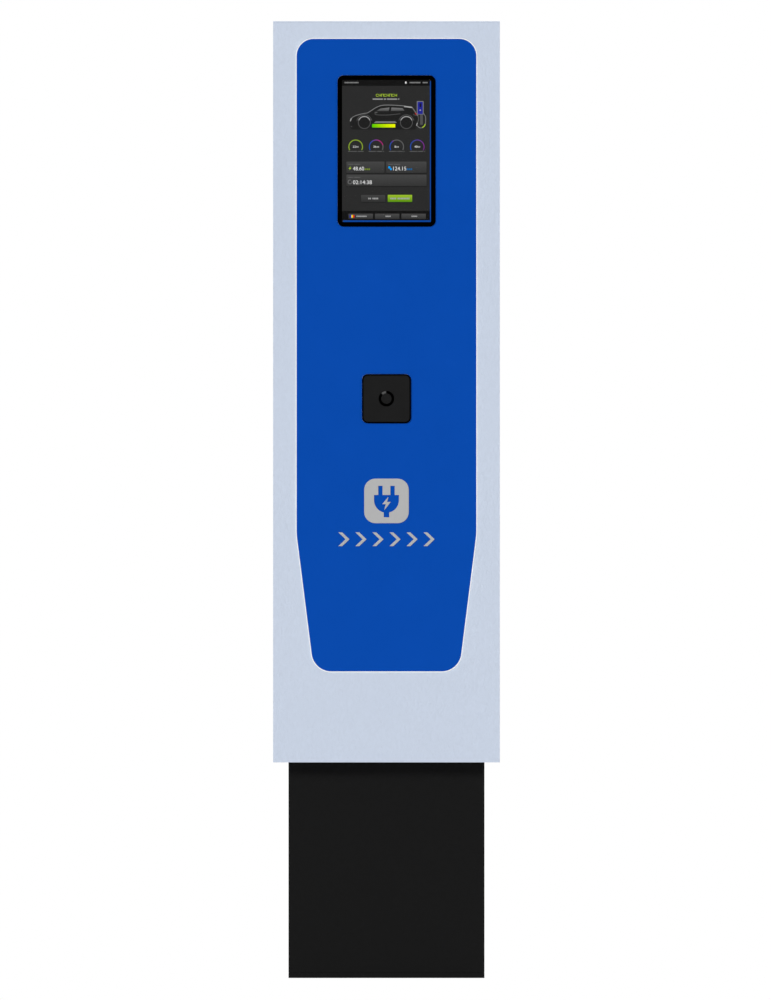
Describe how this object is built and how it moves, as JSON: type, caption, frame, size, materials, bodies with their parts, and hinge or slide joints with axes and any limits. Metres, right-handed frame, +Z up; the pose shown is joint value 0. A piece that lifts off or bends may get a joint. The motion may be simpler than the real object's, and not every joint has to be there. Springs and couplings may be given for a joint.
{
  "type": "charging kiosk",
  "caption": "Free-standing car charging kiosk: steel cabinet on a narrower plinth, with a touch display, a card reader with a start button, lidded side sockets and a rear service door.",
  "frame": {"origin": "on the floor under the middle of the kiosk, at the centre of the bounding box's bottom", "axes": "+Z up, -Y out of the front with the display, +Y out of the rear service door, +X to the right of a person who faces the display"},
  "size_m": [0.346, 0.2449, 1.46],
  "materials": {
    "cabinet_paint": "pale blue-grey powder coat with a fine orange-peel texture",
    "plinth_paint": "black powder coat, matt, with a fine texture",
    "zinc_steel": "zinc-plated sheet steel",
    "hinge_steel": "bright stainless steel",
    "lock_metal": "satin chromed die casting",
    "seal_rubber": "black cellular rubber",
    "gland_plastic": "black polyamide",
    "panel_blue": "deep blue sheet, satin gloss",
    "trim_pale": "off-white sealing bead",
    "bezel_black": "black, satin gloss",
    "display_glass": "clear cover glass",
    "display_picture": null,
    "computer_case": "ribbed aluminium casting",
    "reader_black": "black moulded plastic",
    "indicator_ring": "dark light ring with one lit arc",
    "circuit_board": "green solder mask",
    "socket_plastic": "black moulded plastic, fine spark-eroded texture",
    "contact_plastic": "black moulded plastic",
    "actuator_plastic": "black moulded plastic",
    "device_plastic": "light grey moulded plastic",
    "supply_case": "sheet metal case",
    "lever_plastic": "black moulded plastic"
  },
  "bodies": {
    "kiosk": {"cabinet_shell": "cabinet_paint", "roof_cover": "cabinet_paint", "cabinet_floor": "cabinet_paint", "niche_left_pan": "cabinet_paint", "niche_right_pan": "cabinet_paint", "base_plate": "plinth_paint", "plinth_body": "plinth_paint", "plinth_rear_cover": "plinth_paint", "mounting_plate": "zinc_steel", "din_rail_top": "zinc_steel", "din_rail_middle": "zinc_steel", "din_rail_bottom": "zinc_steel", "hinge_lower_frame_leaf": "hinge_steel", "hinge_lower_pin": "hinge_steel", "hinge_upper_frame_leaf": "hinge_steel", "hinge_upper_pin": "hinge_steel", "socket_left_lid_pin": "hinge_steel", "socket_right_lid_pin": "hinge_steel", "door_seal": "seal_rubber", "supply_gland": "gland_plastic", "front_panel": "panel_blue", "panel_trim": "trim_pale", "display_bezel": "bezel_black", "display_glass": "display_glass", "lcd_module": "display_picture", "display_computer": "computer_case", "reader_housing": "reader_black", "reader_light_ring": "indicator_ring", "reader_board": "circuit_board", "socket_left_body": "socket_plastic", "socket_right_body": "socket_plastic", "socket_left_insert": "contact_plastic", "socket_right_insert": "contact_plastic", "lock_actuator_left": "actuator_plastic", "lock_actuator_right": "actuator_plastic", "charge_controller": "device_plastic", "main_switch": "device_plastic", "surge_protector": "device_plastic", "meter_left": "device_plastic", "meter_right": "device_plastic", "rcbo_left": "device_plastic", "rcbo_right": "device_plastic", "contactor_left": "device_plastic", "contactor_right": "device_plastic", "power_supply": "supply_case"},
    "door": {"rear_door": "cabinet_paint", "hinge_lower_door_leaf": "hinge_steel", "hinge_upper_door_leaf": "hinge_steel", "lock_lower_barrel": "lock_metal", "lock_upper_barrel": "lock_metal"},
    "lock_upper": {"lock_upper_cam": "lock_metal"},
    "lock_lower": {"lock_lower_cam": "lock_metal"},
    "lid_right": {"socket_right_lid": "socket_plastic"},
    "lid_left": {"socket_left_lid": "socket_plastic"},
    "plug_lock_right": {"lock_pin_right": "hinge_steel"},
    "plug_lock_left": {"lock_pin_left": "hinge_steel"},
    "start_button": {"reader_button": "reader_black"},
    "main_lever": {"main_switch_lever": "lever_plastic"},
    "rcbo_lever_left": {"rcbo_left_lever": "lever_plastic"},
    "rcbo_lever_right": {"rcbo_right_lever": "lever_plastic"}
  },
  "joints": [
    {"name": "rear_door_hinge", "type": "hinge", "parent": "kiosk", "child": "door", "pos_m": [-0.15425, 0.1208, 0.895], "axis": [0, 0, 1], "range_deg": [0, 110]},
    {"name": "lock_upper_turn", "type": "hinge", "parent": "door", "child": "lock_upper", "pos_m": [0.13, 0.1, 1.23], "axis": [0, -1, 0], "range_deg": [0, 90]},
    {"name": "lock_lower_turn", "type": "hinge", "parent": "door", "child": "lock_lower", "pos_m": [0.13, 0.1, 0.56], "axis": [0, -1, 0], "range_deg": [0, 90]},
    {"name": "lid_right_hinge", "type": "hinge", "parent": "kiosk", "child": "lid_right", "pos_m": [0.157, 0, 0.638], "axis": [0, -1, 0], "range_deg": [0, 110], "stiffness_Nm_per_rad": 0.03},
    {"name": "lid_left_hinge", "type": "hinge", "parent": "kiosk", "child": "lid_left", "pos_m": [-0.157, 0, 0.638], "axis": [0, 1, 0], "range_deg": [0, 110], "stiffness_Nm_per_rad": 0.03},
    {"name": "plug_lock_right_slide", "type": "slide", "parent": "kiosk", "child": "plug_lock_right", "axis": [0, 0, -1], "range_m": [0, 0.005]},
    {"name": "plug_lock_left_slide", "type": "slide", "parent": "kiosk", "child": "plug_lock_left", "axis": [0, 0, -1], "range_m": [0, 0.005]},
    {"name": "start_button_press", "type": "slide", "parent": "kiosk", "child": "start_button", "axis": [0, 1, 0], "range_m": [0, 0.0015], "stiffness_N_per_m": 600},
    {"name": "main_lever_toggle", "type": "hinge", "parent": "kiosk", "child": "main_lever", "pos_m": [-0.108, -0.00655, 1.115], "axis": [-1, 0, 0], "range_deg": [0, 60]},
    {"name": "rcbo_lever_left_toggle", "type": "hinge", "parent": "kiosk", "child": "rcbo_lever_left", "pos_m": [-0.108, -0.00655, 0.93], "axis": [-1, 0, 0], "range_deg": [0, 60]},
    {"name": "rcbo_lever_right_toggle", "type": "hinge", "parent": "kiosk", "child": "rcbo_lever_right", "pos_m": [-0.036, -0.00655, 0.93], "axis": [-1, 0, 0], "range_deg": [0, 60]}
  ]
}
